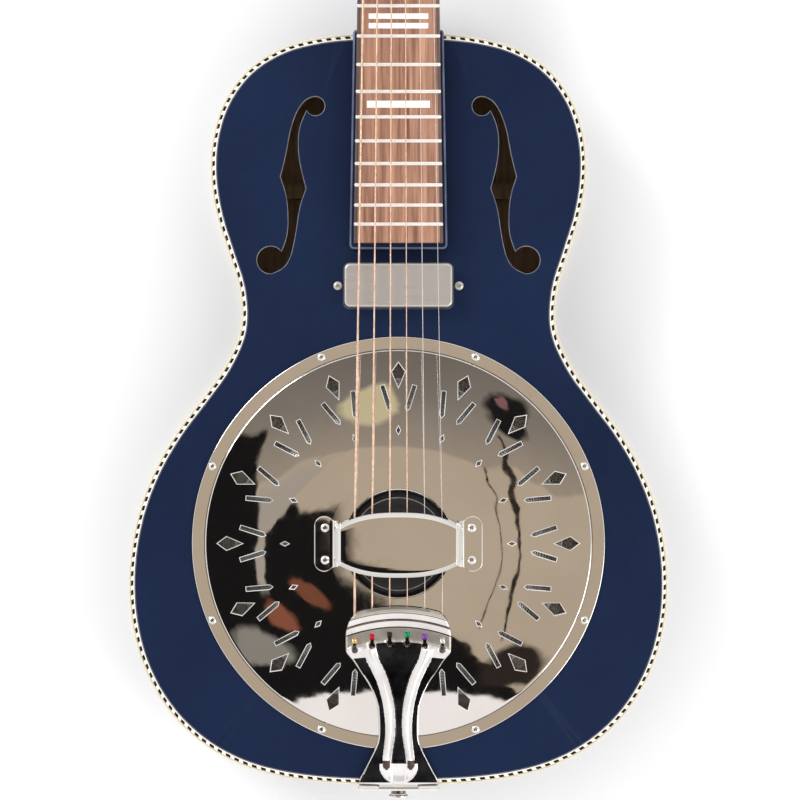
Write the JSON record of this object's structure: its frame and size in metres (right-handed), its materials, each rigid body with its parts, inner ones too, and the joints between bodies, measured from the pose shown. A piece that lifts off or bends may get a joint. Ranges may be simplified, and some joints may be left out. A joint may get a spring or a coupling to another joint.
{
  "type": "resonator guitar",
  "caption": "Parlour-size resonator guitar with a round pressed cover plate, f-shaped sound holes, a pickup and geared tuners, lying on its back.",
  "frame": {"origin": "on the resonator's axis, in the plane of the back", "axes": "+X to the treble side, +Y to the headstock, +Z out of the top"},
  "size_m": [0.3464, 0.998, 0.122],
  "materials": {
    "blue_paint": "satin navy paint over wood",
    "rope_binding": "cream strip with a row of black dashes",
    "plain_wood": "bare wood",
    "stained_wood": "dark brown stain",
    "fingerboard_wood": "open-grained reddish brown wood, oiled",
    "chrome": "mirror plated",
    "satin_nickel": "satin nickel plate",
    "spun_aluminium": "spun, with fine turning rings",
    "plain_steel": "bright drawn wire",
    "wound_bronze": "bronze winding",
    "ivory_plastic": "polished ivory white",
    "black_plastic": "black"
  },
  "bodies": {
    "instrument": {"soundboard": "blue_paint", "back_plate": "blue_paint", "sides": "blue_paint", "neck": "blue_paint", "top_binding": "rope_binding", "back_binding": "rope_binding", "neck_block": "plain_wood", "tail_block": "plain_wood", "sound_well": "plain_wood", "top_brace": "plain_wood", "back_brace_upper": "plain_wood", "back_brace_lower": "plain_wood", "top_lining": "plain_wood", "back_lining": "plain_wood", "biscuit": "stained_wood", "saddle": "stained_wood", "fingerboard": "fingerboard_wood", "coverplate": "chrome", "hand_rest": "chrome", "tailpiece": "chrome", "tail_bracket": "chrome", "tailpiece_hinge_pin": "chrome", "endpin_jack": "chrome", "coverplate_screw_1": "chrome", "coverplate_screw_2": "chrome", "coverplate_screw_3": "chrome", "coverplate_screw_4": "chrome", "coverplate_screw_5": "chrome", "coverplate_screw_6": "chrome", "coverplate_screw_7": "chrome", "coverplate_screw_8": "chrome", "tuner_plate_bass": "satin_nickel", "tuner_plate_treble": "satin_nickel", "resonator_cone": "spun_aluminium", "biscuit_screw": "plain_steel", "string_1": "plain_steel", "string_2": "plain_steel", "string_3": "wound_bronze", "string_4": "wound_bronze", "string_5": "wound_bronze", "string_6": "wound_bronze", "nut": "ivory_plastic", "truss_rod_cover": "black_plastic"},
    "pickup": {"pickup_cover": "satin_nickel", "pickup_base": "black_plastic"},
    "height_screw_bass": {"pickup_screw_bass": "satin_nickel"},
    "height_screw_treble": {"pickup_screw_treble": "satin_nickel"},
    "rod": {"truss_rod": "plain_steel"},
    "button_1": {"tuner_button_1": "satin_nickel"},
    "post_1": {"tuner_post_1": "satin_nickel"},
    "button_2": {"tuner_button_2": "satin_nickel"},
    "post_2": {"tuner_post_2": "satin_nickel"},
    "button_3": {"tuner_button_3": "satin_nickel"},
    "post_3": {"tuner_post_3": "satin_nickel"},
    "button_4": {"tuner_button_4": "satin_nickel"},
    "post_4": {"tuner_post_4": "satin_nickel"},
    "button_5": {"tuner_button_5": "satin_nickel"},
    "post_5": {"tuner_post_5": "satin_nickel"},
    "button_6": {"tuner_button_6": "satin_nickel"},
    "post_6": {"tuner_post_6": "satin_nickel"}
  },
  "joints": [
    {"name": "pickup_height", "type": "slide", "parent": "instrument", "child": "pickup", "axis": [0, 0, 1], "range_m": [-0.002, 0.0015]},
    {"name": "height_screw_bass_turn", "type": "hinge", "parent": "instrument", "child": "height_screw_bass", "pos_m": [-0.039, 0.1654, 0.09], "axis": [0, 0, 1], "range_deg": [-1080, 1440]},
    {"name": "height_screw_treble_turn", "type": "hinge", "parent": "instrument", "child": "height_screw_treble", "pos_m": [0.039, 0.1654, 0.09], "axis": [0, 0, 1], "range_deg": [-1080, 1440]},
    {"name": "truss_rod_adjust", "type": "hinge", "parent": "instrument", "child": "rod", "pos_m": [0, 0.653, 0.0952], "axis": [0, 1, 0], "range_deg": [-360, 360]},
    {"name": "tuner_1_button", "type": "hinge", "parent": "instrument", "child": "button_1", "pos_m": [0.022, 0.68963, 0.07365], "axis": [1, 0, 0], "continuous": true},
    {"name": "tuner_1_post", "type": "hinge", "parent": "instrument", "child": "post_1", "pos_m": [0.022, 0.69577, 0.07212], "axis": [0, 0.2419, 0.9703], "continuous": true},
    {"name": "tuner_2_button", "type": "hinge", "parent": "instrument", "child": "button_2", "pos_m": [0.022, 0.72456, 0.06494], "axis": [1, 0, 0], "continuous": true},
    {"name": "tuner_2_post", "type": "hinge", "parent": "instrument", "child": "post_2", "pos_m": [0.022, 0.7307, 0.06341], "axis": [0, 0.2419, 0.9703], "continuous": true},
    {"name": "tuner_3_button", "type": "hinge", "parent": "instrument", "child": "button_3", "pos_m": [0.022, 0.75949, 0.05623], "axis": [1, 0, 0], "continuous": true},
    {"name": "tuner_3_post", "type": "hinge", "parent": "instrument", "child": "post_3", "pos_m": [0.022, 0.76563, 0.0547], "axis": [0, 0.2419, 0.9703], "continuous": true},
    {"name": "tuner_6_button", "type": "hinge", "parent": "instrument", "child": "button_6", "pos_m": [-0.022, 0.68963, 0.07365], "axis": [-1, 0, 0], "continuous": true},
    {"name": "tuner_6_post", "type": "hinge", "parent": "instrument", "child": "post_6", "pos_m": [-0.022, 0.69577, 0.07212], "axis": [0, 0.2419, 0.9703], "continuous": true},
    {"name": "tuner_5_button", "type": "hinge", "parent": "instrument", "child": "button_5", "pos_m": [-0.022, 0.72456, 0.06494], "axis": [-1, 0, 0], "continuous": true},
    {"name": "tuner_5_post", "type": "hinge", "parent": "instrument", "child": "post_5", "pos_m": [-0.022, 0.7307, 0.06341], "axis": [0, 0.2419, 0.9703], "continuous": true},
    {"name": "tuner_4_button", "type": "hinge", "parent": "instrument", "child": "button_4", "pos_m": [-0.022, 0.75949, 0.05623], "axis": [-1, 0, 0], "continuous": true},
    {"name": "tuner_4_post", "type": "hinge", "parent": "instrument", "child": "post_4", "pos_m": [-0.022, 0.76563, 0.0547], "axis": [0, 0.2419, 0.9703], "continuous": true}
  ],
  "couplings": [
    {"joint": "height_screw_bass_turn", "follows": "pickup_height", "rad_per_m": -12566},
    {"joint": "height_screw_treble_turn", "follows": "pickup_height", "rad_per_m": -12566},
    {"joint": "tuner_1_post", "follows": "tuner_1_button", "ratio": -0.071429},
    {"joint": "tuner_2_post", "follows": "tuner_2_button", "ratio": -0.071429},
    {"joint": "tuner_3_post", "follows": "tuner_3_button", "ratio": -0.071429},
    {"joint": "tuner_6_post", "follows": "tuner_6_button", "ratio": 0.071429},
    {"joint": "tuner_5_post", "follows": "tuner_5_button", "ratio": 0.071429},
    {"joint": "tuner_4_post", "follows": "tuner_4_button", "ratio": 0.071429}
  ]
}
